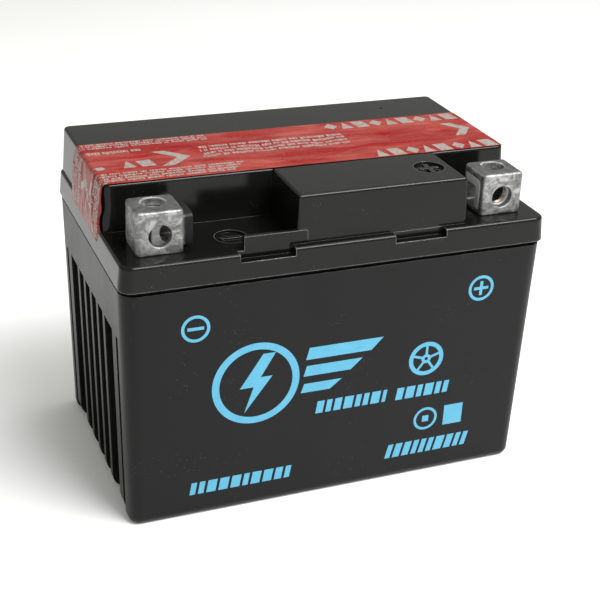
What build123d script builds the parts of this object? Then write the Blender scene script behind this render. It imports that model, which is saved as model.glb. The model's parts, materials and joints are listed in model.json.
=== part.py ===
from build123d import *
import os
from math import atan2, degrees

# A small sealed 12 V motorcycle battery with six cells, in millimetres.
# Origin: centre of the case's bottom face. +X along the length, towards the positive
# terminal; -Y is the front; +Z up.

# ---- overall size ----
LENGTH = 113.0
WIDTH = 70.0
LID_TOP_Z = 85.0

# ---- case ----
SEAM_Z = 66.6              # lower edge of the lid's skirt
SEAM_GAP = 1.1             # dark groove between the skirt and the case
SEAL_Z = SEAM_Z + 0.8      # welded faces of case and lid
CASE_TOP_Z = SEAM_Z - SEAM_GAP
CASE_FOOT_LENGTH = 109.9
CASE_FOOT_WIDTH = 66.7
CASE_DRAFT = 1.25          # outward lean of each wall from the bottom to the seam
CASE_CORNER_R = 3.0
CASE_FOOT_R = 2.0
FLOOR_T = 2.2
WALL_T = 2.1
TONGUE_LENGTH = 110.3      # outside of the upstand that is welded into the lid
TONGUE_WIDTH = 67.2
TONGUE_CORNER_R = 2.6
TONGUE_GAP = 0.15
CAVITY_CORNER_R = 1.4

# ---- vertical grooves in both ends of the case ----
GROOVE_TOP_Z = 52.0
GROOVE_DEPTH = 3.0
INNER_RIBS = 5
INNER_RIB_PITCH = 7.0
INNER_RIB_T = 2.0
OUTER_RIB_Y = 24.6
OUTER_RIB_T = 3.6
PILLAR_Y = 28.3            # inner side of each corner pillar
RIB_FOOT_R = 4.0

# ---- cells ----
CELLS = 6
CELL_PITCH = 16.7
PARTITION_T = 1.6
WIDE_CELL_Z = 54.5         # above this height the end walls step outwards
WALL_STEP = 2.9

# ---- lid ----
DECK_Z = 73.0              # floor beside the terminals
SKIRT_LEAN = 0.56
LID_CORNER_R = 3.4
BODY_LENGTH = 110.8        # raised rear body of the lid, at deck height
BODY_FRONT_Y = -13.1
BODY_REAR_Y = 34.1
BODY_CORNER_R = 2.6
BLOCK_LEFT_X = -12.4       # raised centre block, at deck height
BLOCK_RIGHT_X = 34.3
BLOCK_FRONT_Y = -32.1
BLOCK_CORNER_R = 1.2
BLOCK_JOIN = 6.0           # how far the block runs into the rear body
UPPER_LEAN = 0.88          # inward lean of the raised walls from the deck to the top
LID_EDGE_R = 0.8
LID_T = 2.2
RAISED_FOOT = 2.0          # how far the raised parts run down into the deck
RIM_INSET = 1.2            # inner edge of the welded rim, from the upstand's outside
HOLLOW_CORNER_R = 0.8
HOLLOW_OVERLAP = 0.5
LOW_WALL_LEFT_X = -25.7
LOW_WALL_FRONT_Y = -32.3
LOW_WALL_TOP_Z = 76.5
LOW_WALL_T = 1.5
LOW_WALL_EDGE_R = 0.4
LEDGE_DIP_X = 20.25        # two shallow steps in the front ledge
LEDGE_DIP_LENGTH = 14.0
LEDGE_DIP_Z = 71.0
PLUS_MARK_X = 27.3         # polarity marks: a raised sign in a sunk disc
PLUS_MARK_Y = -21.9
MINUS_MARK_X = -26.1
MINUS_MARK_Y = -23.4
MARK_R = 3.95
MARK_DEPTH = 0.7
MARK_SIGN_LENGTH = 5.2
MARK_SIGN_WIDTH = 1.1
MARK_SIGN_HEIGHT = 0.5
GATE_MARK_X = 35.3         # small dimple where the moulding gate was
GATE_MARK_Y = 25.6
GATE_MARK_R = 0.8
GATE_MARK_DEPTH = 0.2

# ---- filler ports, under the seal tape ----
FILLER_Y = 3.0
FILLER_R = 4.8
FILLER_TUBE_R = 6.2
FILLER_FOOT_Z = 70.0

# ---- safety vent, under the seal tape ----
VENT_Y = -6.7
VENT_BOSS_R = 5.0
VENT_BOSS_Z = 74.8
VENT_FLOOR_Z = 76.4
VENT_R = 3.4
ARRESTOR_R = 3.9
ARRESTOR_Z = 81.8
VENT_COVER_R = 4.6
VENT_COVER_T = 1.2
NOZZLE_R = 2.0
NOZZLE_BORE_R = 0.8
NOZZLE_TOP_Z = 79.4
GALLERY_WIDTH = 3.0
GALLERY_Z = 72.2
CAP_R = 3.0
CAP_CLEARANCE = 0.6        # below the cap and above it
CAP_EDGE_R = 0.5
CAP_FIT = 0.08             # radial, around the nozzle
CAP_SEAT_GAP = 0.02
COVER_FIT = 0.05           # radial, around the cover and the arrestor
GAS_HOLE_R = 0.6

# ---- terminals ----
TERMINAL_X = 45.3
TERMINAL_Y = -23.9
TERMINAL_LENGTH = 11.5
TERMINAL_WIDTH = 10.6
TERMINAL_TOP_Z = 84.0
TERMINAL_EDGE_R = 0.9
OUTER_CHEEK_T = 1.1
POCKET_FRONT_Y = -27.45
POCKET_REAR_Y = -19.6
POCKET_FLOOR_Z = 74.0
POCKET_ROOF_Z = 82.0
BOLT_CLEARANCE_R = 2.8
TOP_HOLE_Y = -23.1
FRONT_HOLE_Z = 77.7
STEM_R = 4.0
STEM_FOOT_Z = 67.6
STEM_GAP = 0.1
SOCKET_R = 5.8
SOCKET_WALL_T = 1.1
O_RING_WIRE_R = 0.9

# ---- angle nuts ----
NUT_LENGTH = 10.2
NUT_T = 2.2
NUT_BEND_R = 1.6
NUT_PLAY = 0.1
THREAD_R = 2.1             # core of an M5 thread
BOLT_PATH_R = 2.6
NUT_STANDS_OUT = 2.8       # how far the negative terminal's loose nut has slid out

# ---- seal tape ----
TAPE_T = 0.25              # the film with its wrinkles
TAPE_GAP = 0.05
TAPE_FRONT_Y = -12.2
TAPE_REAR_Y = 16.5
TAPE_RIGHT_X = 54.2
TAPE_FOOT_Z = 70.6

# ---- plates and straps ----
POSITIVE_T = 1.7
NEGATIVE_T = 1.3
SEPARATOR_T = 0.75
POSITIVES = 3
PLATE_WIDTH = 60.0
PLATE_FOOT_Z = 2.8
PLATE_TOP_Z = 51.0
SEPARATOR_FOOT_Z = 2.4
SEPARATOR_OVERHANG = 0.8
LUG_WIDTH = 8.0
LUG_T = 1.1
STRAP_Y = 23.9
STRAP_FOOT_Z = 57.0
STRAP_T = 3.4
STRAP_WIDTH = 8.6
STRAP_LENGTH = 14.4
TOMBSTONE_T = 2.4
TOMBSTONE_TOP_Z = 66.4
WELD_Z = 63.2
WELD_R = 2.6

EPS = 1.0                  # how far a cutter runs past the face it opens


def drafted_block(length, width, corner_r, z, height, lean):
    """A rounded block whose walls lean inwards by lean over its height."""
    outline = Pos(0, 0, z) * RectangleRounded(length, width, corner_r)
    return extrude(outline, amount=height, taper=degrees(atan2(lean, height)))


def span_box(x0, x1, y0, y1, z0, z1):
    """A plain block between two corners."""
    centre = Pos((x0 + x1) / 2, (y0 + y1) / 2, (z0 + z1) / 2)
    return centre * Box(x1 - x0, y1 - y0, z1 - z0)


def upright(x, y, radius, z0, z1):
    """A vertical cylinder."""
    return Pos(x, y, (z0 + z1) / 2) * Cylinder(radius, z1 - z0)


def cell_x(cell):
    """Middle of a cell, counted 1 to 6 from the negative end."""
    return (cell - (CELLS + 1) / 2) * CELL_PITCH


def partition_xs():
    """Middles of the five walls between the cells."""
    return [cell_x(cell) + CELL_PITCH / 2 for cell in range(1, CELLS)]


def case_half_length(z):
    """Half the length of the case's outside at height z."""
    return CASE_FOOT_LENGTH / 2 + CASE_DRAFT * z / CASE_TOP_Z


def end_sweep(profile_points, y0, y1):
    """A prism along Y under an outline given as (x, z) points."""
    points = [(x, y0, z) for x, z in profile_points]
    return extrude(make_face(Polyline(*points, close=True)), amount=y1 - y0, dir=(0, 1, 0))


# ---------------------------------------------------------------- container

def groove_edges():
    """(y0, y1) of each vertical groove between the ribs of one end."""
    inner_ys = [(rib - (INNER_RIBS - 1) / 2) * INNER_RIB_PITCH for rib in range(INNER_RIBS)]
    ribs = [(y, INNER_RIB_T) for y in inner_ys]
    ribs = [(-OUTER_RIB_Y, OUTER_RIB_T)] + ribs + [(OUTER_RIB_Y, OUTER_RIB_T)]
    edges = [-PILLAR_Y]
    for y, thickness in ribs:
        edges += [y - thickness / 2, y + thickness / 2]
    edges.append(PILLAR_Y)
    return list(zip(edges[0::2], edges[1::2]))


def groove_cutter(y0, y1):
    """Takes one groove out of the +X end, parallel to the leaning wall."""
    outside = case_half_length(GROOVE_TOP_Z) + EPS
    points = [
        (case_half_length(-EPS) - GROOVE_DEPTH, -EPS),
        (case_half_length(GROOVE_TOP_Z) - GROOVE_DEPTH, GROOVE_TOP_Z),
        (outside, GROOVE_TOP_Z),
        (outside, -EPS),
    ]
    return end_sweep(points, y0, y1)


def rib_foot_cutter():
    """Rounds the lower ends of the ribs at the +X end."""
    x = case_half_length(0) - RIB_FOOT_R
    corner = span_box(x, x + RIB_FOOT_R + EPS, -PILLAR_Y, PILLAR_Y, -EPS, RIB_FOOT_R)
    roller = Pos(x, 0, RIB_FOOT_R) * Rot(90, 0, 0) * Cylinder(RIB_FOOT_R, 2 * (PILLAR_Y + EPS))
    return corner - roller


def make_container():
    """The case: outer box, upstand for the lid, end ribs and five partitions."""
    lean_per_mm = CASE_DRAFT / CASE_TOP_Z
    case = drafted_block(CASE_FOOT_LENGTH, CASE_FOOT_WIDTH, CASE_CORNER_R, 0,
                         CASE_TOP_Z, -CASE_DRAFT)
    foot_edges = case.edges().filter_by_position(Axis.Z, -0.01, 0.01)
    case = fillet(foot_edges, CASE_FOOT_R)
    tongue = RectangleRounded(TONGUE_LENGTH, TONGUE_WIDTH, TONGUE_CORNER_R)
    case += extrude(Pos(0, 0, CASE_TOP_Z) * tongue, amount=SEAL_Z - CASE_TOP_Z)

    cavity_height = SEAL_Z + EPS - FLOOR_T
    cavity_length = 2 * (case_half_length(FLOOR_T) - GROOVE_DEPTH - WALL_T)
    cavity_width = CASE_FOOT_WIDTH + 2 * lean_per_mm * FLOOR_T - 2 * WALL_T
    cavity = drafted_block(cavity_length, cavity_width, CAVITY_CORNER_R, FLOOR_T,
                           cavity_height, -lean_per_mm * cavity_height)
    wide_height = SEAL_Z + EPS - WIDE_CELL_Z
    wide_growth = 2 * lean_per_mm * (WIDE_CELL_Z - FLOOR_T)
    cavity += drafted_block(cavity_length + wide_growth + 2 * WALL_STEP,
                            cavity_width + wide_growth, CAVITY_CORNER_R, WIDE_CELL_Z,
                            wide_height, -lean_per_mm * wide_height)
    for x in partition_xs():
        cavity -= Pos(x, 0, SEAL_Z / 2) * Box(PARTITION_T, WIDTH, SEAL_Z + 4 * EPS)
    case -= cavity
    for partition, x in enumerate(partition_xs()):
        y = STRAP_Y if partition % 2 == 0 else -STRAP_Y
        case -= Pos(x, y, WELD_Z) * Rot(0, 90, 0) * Cylinder(WELD_R, PARTITION_T + EPS)

    cutters = [groove_cutter(y0, y1) for y0, y1 in groove_edges()] + [rib_foot_cutter()]
    for cutter in cutters:
        case -= cutter
        case -= mirror(cutter, Plane.YZ)
    return case


# ---------------------------------------------------------------------- lid

def lid_base(grow=0.0):
    """The skirt and the deck: walls that lean in from the seam up to a rounded edge."""
    height = DECK_Z + grow - SEAM_Z
    base = drafted_block(LENGTH + 2 * grow, WIDTH + 2 * grow, LID_CORNER_R + grow, SEAM_Z,
                         height, SKIRT_LEAN)
    return fillet(base.edges().group_by(Axis.Z)[-1], LID_EDGE_R)


def raised_block(x0, x1, y0, y1, corner_r, grow=0.0):
    """A raised part of the lid, given by its outline at deck height."""
    lean_per_mm = UPPER_LEAN / (LID_TOP_Z - DECK_Z)
    height = LID_TOP_Z + grow - DECK_Z + RAISED_FOOT
    extra = 2 * (grow + lean_per_mm * RAISED_FOOT)
    block = drafted_block(x1 - x0 + extra, y1 - y0 + extra, corner_r + grow,
                          DECK_Z - RAISED_FOOT, height, lean_per_mm * height)
    return Pos((x0 + x1) / 2, (y0 + y1) / 2, 0) * block


def rear_body(grow=0.0):
    """The raised rear part that carries the filler ports."""
    half = BODY_LENGTH / 2
    return raised_block(-half, half, BODY_FRONT_Y, BODY_REAR_Y, BODY_CORNER_R, grow)


def centre_block(grow=0.0):
    """The raised part between the two terminals."""
    join_y = BODY_FRONT_Y + BLOCK_JOIN
    return raised_block(BLOCK_LEFT_X, BLOCK_RIGHT_X, BLOCK_FRONT_Y, join_y, BLOCK_CORNER_R,
                        grow)


def lid_shape(grow=0.0):
    """The lid's plain outside, or the same shape grown by a small distance."""
    upper = rear_body(grow) + centre_block(grow)
    upper = fillet(upper.edges().group_by(Axis.Z)[-1], LID_EDGE_R + grow)
    return lid_base(grow) + upper


def polarity_mark(x, y, z, plus):
    """A sunk disc with a raised minus or plus on its floor, to be cut from a face."""
    sign = Rectangle(MARK_SIGN_LENGTH, MARK_SIGN_WIDTH)
    if plus:
        sign += Rot(0, 0, 90) * sign
    floor = Pos(x, y, z - MARK_DEPTH)
    raised_sign = extrude(floor * sign, amount=MARK_SIGN_HEIGHT)
    return upright(x, y, MARK_R, z - MARK_DEPTH, z + EPS) - raised_sign


def lid_hollow():
    """The space inside the lid, less the ribs, tubes and bosses that stand in it."""
    lean_per_mm = UPPER_LEAN / (LID_TOP_Z - DECK_Z)
    ceiling_z = LID_TOP_Z - LID_T
    inner_length = TONGUE_LENGTH - 2 * RIM_INSET
    inner_width = TONGUE_WIDTH - 2 * RIM_INSET
    low = span_box(-inner_length / 2, inner_length / 2, -inner_width / 2, inner_width / 2,
                   SEAM_Z - EPS, DECK_Z - LID_T)
    seat = RectangleRounded(TONGUE_LENGTH + 2 * TONGUE_GAP, TONGUE_WIDTH + 2 * TONGUE_GAP,
                            TONGUE_CORNER_R + TONGUE_GAP)
    low += extrude(Pos(0, 0, SEAM_Z - EPS) * seat, amount=SEAL_Z - SEAM_Z + EPS)
    half = BODY_LENGTH / 2 - LID_T
    start_z = DECK_Z - LID_T - HOLLOW_OVERLAP
    height = ceiling_z - start_z
    rear = drafted_block(2 * half, BODY_REAR_Y - BODY_FRONT_Y - 2 * LID_T, HOLLOW_CORNER_R,
                         start_z, height, lean_per_mm * height)
    rear = Pos(0, (BODY_FRONT_Y + BODY_REAR_Y) / 2, 0) * rear
    block_y0 = BLOCK_FRONT_Y + LID_T
    block_y1 = BODY_FRONT_Y + 2 * LID_T
    block = drafted_block(BLOCK_RIGHT_X - BLOCK_LEFT_X - 2 * LID_T, block_y1 - block_y0,
                          HOLLOW_CORNER_R, start_z, height, lean_per_mm * height)
    block = Pos((BLOCK_LEFT_X + BLOCK_RIGHT_X) / 2, (block_y0 + block_y1) / 2, 0) * block
    hollow = low + rear + block

    for x in partition_xs():
        hollow -= span_box(x - PARTITION_T / 2, x + PARTITION_T / 2, -WIDTH / 2, WIDTH / 2,
                           SEAL_Z, LID_TOP_Z)
    hollow += span_box(partition_xs()[0] - EPS, partition_xs()[-1] + EPS,
                       VENT_Y - GALLERY_WIDTH / 2, VENT_Y + GALLERY_WIDTH / 2,
                       GALLERY_Z, VENT_BOSS_Z)
    for cell in range(1, CELLS + 1):
        hollow -= upright(cell_x(cell), FILLER_Y, FILLER_TUBE_R, FILLER_FOOT_Z, LID_TOP_Z)
    hollow -= upright(0, VENT_Y, VENT_BOSS_R, VENT_BOSS_Z, LID_TOP_Z)
    for side in (-1, 1):
        hollow -= upright(side * TERMINAL_X, TERMINAL_Y, SOCKET_R + SOCKET_WALL_T,
                          STEM_FOOT_Z, DECK_Z)
    return hollow


def vent_well():
    """The stepped well of the safety vent, around its nozzle."""
    well = upright(0, VENT_Y, VENT_R, VENT_FLOOR_Z, LID_TOP_Z)
    well += upright(0, VENT_Y, ARRESTOR_R, ARRESTOR_Z, LID_TOP_Z)
    well += upright(0, VENT_Y, VENT_COVER_R, LID_TOP_Z - VENT_COVER_T, LID_TOP_Z + EPS)
    well -= upright(0, VENT_Y, NOZZLE_R, VENT_FLOOR_Z - EPS, NOZZLE_TOP_Z)
    return well + upright(0, VENT_Y, NOZZLE_BORE_R, VENT_BOSS_Z - EPS, NOZZLE_TOP_Z + EPS)


def make_lid():
    """The cover: skirt, deck, raised body and block, ports, vent and terminal sockets."""
    lid = lid_shape()
    low_wall = span_box(LOW_WALL_LEFT_X, BLOCK_LEFT_X + 2 * LOW_WALL_T, LOW_WALL_FRONT_Y,
                        LOW_WALL_FRONT_Y + LOW_WALL_T, DECK_Z - EPS, LOW_WALL_TOP_Z)
    lid += fillet(low_wall.edges().group_by(Axis.Z)[-1], LOW_WALL_EDGE_R)
    lid -= lid_hollow()

    for side in (-1, 1):
        x = side * LEDGE_DIP_X
        lid -= span_box(x - LEDGE_DIP_LENGTH / 2, x + LEDGE_DIP_LENGTH / 2, -WIDTH / 2 - EPS,
                        LOW_WALL_FRONT_Y, LEDGE_DIP_Z, DECK_Z + EPS)
        stem_x = side * TERMINAL_X
        lid -= upright(stem_x, TERMINAL_Y, STEM_R + STEM_GAP, STEM_FOOT_Z - EPS, DECK_Z + EPS)
        lid -= upright(stem_x, TERMINAL_Y, SOCKET_R, STEM_FOOT_Z - EPS, DECK_Z - LID_T)
    for cell in range(1, CELLS + 1):
        lid -= upright(cell_x(cell), FILLER_Y, FILLER_R, FILLER_FOOT_Z - EPS, LID_TOP_Z + EPS)
    lid -= vent_well()
    lid -= polarity_mark(PLUS_MARK_X, PLUS_MARK_Y, LID_TOP_Z, plus=True)
    lid -= polarity_mark(MINUS_MARK_X, MINUS_MARK_Y, DECK_Z, plus=False)
    lid -= upright(GATE_MARK_X, GATE_MARK_Y, GATE_MARK_R, LID_TOP_Z - GATE_MARK_DEPTH,
                   LID_TOP_Z + EPS)
    return lid


# ---------------------------------------------------------------- lid's trim

def make_seal_tape():
    """The film stuck over the ports and down the left end."""
    skin = lid_shape(TAPE_GAP + TAPE_T) - lid_shape(TAPE_GAP)
    return skin & span_box(-LENGTH / 2, TAPE_RIGHT_X, TAPE_FRONT_Y, TAPE_REAR_Y,
                           TAPE_FOOT_Z, LID_TOP_Z + EPS)


def make_valve_cap():
    """The rubber cap that sits on the nozzle and lifts when gas pushes it."""
    cap = upright(0, VENT_Y, CAP_R, VENT_FLOOR_Z + CAP_CLEARANCE, ARRESTOR_Z - CAP_CLEARANCE)
    cap = fillet(cap.edges().group_by(Axis.Z)[-1], CAP_EDGE_R)
    return cap - upright(0, VENT_Y, NOZZLE_R + CAP_FIT, VENT_FLOOR_Z,
                         NOZZLE_TOP_Z + CAP_SEAT_GAP)


def make_flame_arrestor():
    """The porous disc above the valve."""
    return upright(0, VENT_Y, ARRESTOR_R - COVER_FIT, ARRESTOR_Z, LID_TOP_Z - VENT_COVER_T)


def make_vent_cover():
    """The disc welded over the vent, flush with the lid, with one gas hole."""
    foot_z = LID_TOP_Z - VENT_COVER_T
    cover = upright(0, VENT_Y, VENT_COVER_R - COVER_FIT, foot_z, LID_TOP_Z)
    return cover - upright(0, VENT_Y, GAS_HOLE_R, foot_z - EPS, LID_TOP_Z + EPS)


# ---------------------------------------------------------------- terminals

def make_positive_terminal():
    """Lead block with a side pocket for the nut, and a stem through the deck."""
    inner_x = TERMINAL_X - TERMINAL_LENGTH / 2
    outer_x = TERMINAL_X + TERMINAL_LENGTH / 2
    front_y = TERMINAL_Y - TERMINAL_WIDTH / 2
    rear_y = TERMINAL_Y + TERMINAL_WIDTH / 2
    block = span_box(inner_x, outer_x, front_y, rear_y, DECK_Z, TERMINAL_TOP_Z)
    soft_edges = block.edges().filter_by(Axis.Z) + block.edges().group_by(Axis.Z)[-1]
    block = fillet(soft_edges, TERMINAL_EDGE_R)
    block -= span_box(inner_x - EPS, outer_x - OUTER_CHEEK_T, POCKET_FRONT_Y, POCKET_REAR_Y,
                      POCKET_FLOOR_Z, POCKET_ROOF_Z)
    block -= upright(TERMINAL_X, TOP_HOLE_Y, BOLT_CLEARANCE_R, POCKET_ROOF_Z - EPS,
                     TERMINAL_TOP_Z + EPS)
    front_hole = Rot(90, 0, 0) * Cylinder(BOLT_CLEARANCE_R, POCKET_FRONT_Y - front_y + 2 * EPS)
    block -= Pos(TERMINAL_X, (front_y + POCKET_FRONT_Y) / 2, FRONT_HOLE_Z) * front_hole
    return block + upright(TERMINAL_X, TERMINAL_Y, STEM_R, STEM_FOOT_Z, DECK_Z)


def make_positive_nut():
    """A bent steel plate with an M5 thread in each leg, pushed home in its pocket."""
    inner_x = TERMINAL_X - TERMINAL_LENGTH / 2
    front_y = POCKET_FRONT_Y + NUT_PLAY
    rear_y = POCKET_REAR_Y - NUT_PLAY
    foot_z = POCKET_FLOOR_Z + NUT_PLAY
    top_z = POCKET_ROOF_Z - NUT_PLAY
    nut = span_box(inner_x, inner_x + NUT_LENGTH, front_y, rear_y, foot_z, top_z)
    bend = nut.edges().filter_by(Axis.X).group_by(Axis.Z)[-1].sort_by(Axis.Y)[0]
    nut = fillet(bend, NUT_BEND_R)
    nut -= span_box(inner_x - EPS, inner_x + NUT_LENGTH + EPS, front_y + NUT_T, rear_y + EPS,
                    foot_z - EPS, top_z - NUT_T)
    nut -= upright(TERMINAL_X, TOP_HOLE_Y, THREAD_R, top_z - NUT_T - EPS, top_z + EPS)
    nut -= upright(TERMINAL_X, TOP_HOLE_Y, BOLT_PATH_R, foot_z - EPS, top_z - NUT_T)
    tapped = Rot(90, 0, 0) * Cylinder(THREAD_R, NUT_T + 2 * EPS)
    nut -= Pos(TERMINAL_X, front_y + NUT_T / 2, FRONT_HOLE_Z) * tapped
    path_length = rear_y - front_y - NUT_T + EPS
    path = Rot(90, 0, 0) * Cylinder(BOLT_PATH_R, path_length)
    nut -= Pos(TERMINAL_X, front_y + NUT_T + path_length / 2, FRONT_HOLE_Z) * path
    return nut


def make_o_ring(x):
    """The rubber ring squeezed between the stem and its socket."""
    centre_r = (STEM_R + SOCKET_R) / 2
    ring = Torus(centre_r, O_RING_WIRE_R)
    return Pos(x, TERMINAL_Y, DECK_Z - LID_T - O_RING_WIRE_R) * ring


def make_epoxy_seal(x):
    """The potting that closes the socket below the ring."""
    top_z = DECK_Z - LID_T - 2 * O_RING_WIRE_R
    potting = upright(x, TERMINAL_Y, SOCKET_R, STEM_FOOT_Z, top_z)
    return potting - upright(x, TERMINAL_Y, STEM_R, STEM_FOOT_Z - EPS, top_z + EPS)


# -------------------------------------------------------- plates and straps

def plate(x, thickness, lug_y):
    """A pasted plate with the lug that reaches up to its strap."""
    body = span_box(x - thickness / 2, x + thickness / 2, -PLATE_WIDTH / 2, PLATE_WIDTH / 2,
                    PLATE_FOOT_Z, PLATE_TOP_Z)
    lug = span_box(x - LUG_T / 2, x + LUG_T / 2, lug_y - LUG_WIDTH / 2, lug_y + LUG_WIDTH / 2,
                   PLATE_TOP_Z - EPS, STRAP_FOOT_Z)
    return body + lug


def plate_stack(cell):
    """(negatives, positives, separators) of one cell as lists of x positions."""
    step = (POSITIVE_T + NEGATIVE_T) / 2 + SEPARATOR_T
    negatives = [cell_x(cell) + (i - POSITIVES / 2) * 2 * step for i in range(POSITIVES + 1)]
    positives = [x + step for x in negatives[:-1]]
    separators = []
    for x in positives:
        offset = (POSITIVE_T + SEPARATOR_T) / 2
        separators += [x - offset, x + offset]
    return negatives, positives, separators


def negative_side(cell):
    """The negative straps are in front in cells 1, 3 and 5, and behind in the others."""
    return -1 if cell % 2 == 1 else 1


def separator_sheet(x):
    """One sheet of glass mat, a little larger than the plates."""
    half = PLATE_WIDTH / 2 + SEPARATOR_OVERHANG
    return span_box(x - SEPARATOR_T / 2, x + SEPARATOR_T / 2, -half, half,
                    SEPARATOR_FOOT_Z, PLATE_TOP_Z + SEPARATOR_OVERHANG)


def strap(cell, side, partition_side):
    """The lead bar over one cell's lugs, with its upright against a partition.

    partition_side is +1 or -1, or 0 on an end strap, which has a round post instead.
    """
    x = cell_x(cell)
    y = side * STRAP_Y
    bar = span_box(x - STRAP_LENGTH / 2, x + STRAP_LENGTH / 2, y - STRAP_WIDTH / 2,
                   y + STRAP_WIDTH / 2, STRAP_FOOT_Z, STRAP_FOOT_Z + STRAP_T)
    if partition_side == 0:
        post_x = TERMINAL_X if x > 0 else -TERMINAL_X
        return bar + upright(post_x, TERMINAL_Y, STEM_R, STRAP_FOOT_Z, STEM_FOOT_Z)
    wall_x = x + partition_side * (CELL_PITCH - PARTITION_T) / 2
    far_x = wall_x - partition_side * TOMBSTONE_T
    return bar + span_box(min(wall_x, far_x), max(wall_x, far_x), y - STRAP_WIDTH / 2,
                          y + STRAP_WIDTH / 2, STRAP_FOOT_Z, TOMBSTONE_TOP_Z)


def make_cell_pieces(cell):
    """The plates, separators and straps of one cell, by node name."""
    negatives, positives, separators = plate_stack(cell)
    side = negative_side(cell)
    negative_lug_y = side * STRAP_Y
    first = cell == 1
    last = cell == CELLS
    return {
        f"negative_plates_cell_{cell}":
            [plate(x, NEGATIVE_T, negative_lug_y) for x in negatives],
        f"positive_plates_cell_{cell}":
            [plate(x, POSITIVE_T, -negative_lug_y) for x in positives],
        f"glass_mat_separators_cell_{cell}": [separator_sheet(x) for x in separators],
        f"negative_strap_cell_{cell}": [strap(cell, side, 0 if first else -1)],
        f"positive_strap_cell_{cell}": [strap(cell, -side, 0 if last else 1)],
    }


def make_partition_weld(partition):
    """The lead that joins two straps through the hole in a partition."""
    x = partition_xs()[partition]
    y = STRAP_Y if partition % 2 == 0 else -STRAP_Y
    return Pos(x, y, WELD_Z) * Rot(0, 90, 0) * Cylinder(WELD_R, PARTITION_T)


# ------------------------------------------------------------------ assembly

def make_battery():
    """Every sub-part by node name, each as a list of solids."""
    positive_terminal = make_positive_terminal()
    positive_nut = make_positive_nut()
    parts = {
        "container": [make_container()],
        "lid": [make_lid()],
        "seal_tape": [make_seal_tape()],
        "valve_cap": [make_valve_cap()],
        "flame_arrestor_disc": [make_flame_arrestor()],
        "vent_cover": [make_vent_cover()],
        "positive_terminal": [positive_terminal],
        "negative_terminal": [mirror(positive_terminal, Plane.YZ)],
        "positive_angle_nut": [positive_nut],
        "negative_angle_nut": [Pos(NUT_STANDS_OUT, 0, 0) * mirror(positive_nut, Plane.YZ)],
        "positive_o_ring": [make_o_ring(TERMINAL_X)],
        "negative_o_ring": [make_o_ring(-TERMINAL_X)],
        "positive_epoxy_seal": [make_epoxy_seal(TERMINAL_X)],
        "negative_epoxy_seal": [make_epoxy_seal(-TERMINAL_X)],
    }
    for partition in range(CELLS - 1):
        parts[f"partition_weld_{partition + 1}"] = [make_partition_weld(partition)]
    for cell in range(1, CELLS + 1):
        parts.update(make_cell_pieces(cell))
    return parts


os.makedirs("parts", exist_ok=True)
for name, pieces in make_battery().items():
    solids = [solid for piece in pieces for solid in piece.solids()]
    export_step(Compound(solids), f"parts/{name}.step")
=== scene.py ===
import json
import math
import random

import bmesh
import bpy
from mathutils import Matrix, Vector, noise
from mathutils.bvhtree import BVHTree


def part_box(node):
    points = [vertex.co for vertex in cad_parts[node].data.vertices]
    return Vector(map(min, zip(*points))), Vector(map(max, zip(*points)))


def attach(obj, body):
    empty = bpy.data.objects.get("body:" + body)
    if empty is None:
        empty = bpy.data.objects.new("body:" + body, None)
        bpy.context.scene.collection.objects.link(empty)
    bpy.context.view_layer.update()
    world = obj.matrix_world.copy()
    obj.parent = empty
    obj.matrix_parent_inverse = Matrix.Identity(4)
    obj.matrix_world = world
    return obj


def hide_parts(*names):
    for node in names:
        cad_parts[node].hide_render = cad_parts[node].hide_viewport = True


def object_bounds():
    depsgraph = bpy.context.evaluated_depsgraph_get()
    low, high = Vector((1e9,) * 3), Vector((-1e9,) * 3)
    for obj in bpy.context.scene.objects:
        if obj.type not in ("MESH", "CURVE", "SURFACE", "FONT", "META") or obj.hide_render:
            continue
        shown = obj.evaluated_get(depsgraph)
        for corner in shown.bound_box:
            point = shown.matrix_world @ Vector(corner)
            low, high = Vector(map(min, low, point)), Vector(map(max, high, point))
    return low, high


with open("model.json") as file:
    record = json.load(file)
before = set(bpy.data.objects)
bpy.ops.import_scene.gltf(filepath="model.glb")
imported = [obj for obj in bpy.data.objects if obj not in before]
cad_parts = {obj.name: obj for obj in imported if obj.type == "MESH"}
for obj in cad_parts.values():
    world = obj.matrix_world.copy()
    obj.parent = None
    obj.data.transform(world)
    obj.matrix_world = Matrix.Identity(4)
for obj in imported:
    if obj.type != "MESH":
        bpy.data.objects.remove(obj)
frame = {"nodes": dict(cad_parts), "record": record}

# A small sealed motorcycle battery: its plastics, lead, steel, film and print, in a plain
# studio. Everything is in metres, in the CAD model's own frame.

MM = 0.001
NODES = frame["nodes"]
RECORD = frame["record"]
CAD_LOW, CAD_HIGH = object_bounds()
MOUNTS = {mount["name"]: mount for mount in RECORD["mounts"]}

TAPE_LOW, TAPE_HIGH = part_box("seal_tape")
LID_TOP_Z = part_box("vent_cover")[1].z
FILLER_PORTS = [Vector(mount["pos_m"]) for name, mount in MOUNTS.items()
                if name.startswith("filler_port")]
FILLER_R = MOUNTS["filler_port_1"]["dims"]["r_mm"] * MM


# ------------------------------------------------------------------ camera, light, floor

CAMERA_PLACE = Vector((-0.1185, -0.2921, 0.1973))
CAMERA_YAW = math.radians(22.51)
CAMERA_PITCH = math.radians(26.39)
CAMERA_ROLL = math.radians(2.49)
CAMERA_LENS_MM = 76.4
CAMERA_SENSOR_MM = 36.0

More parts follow.
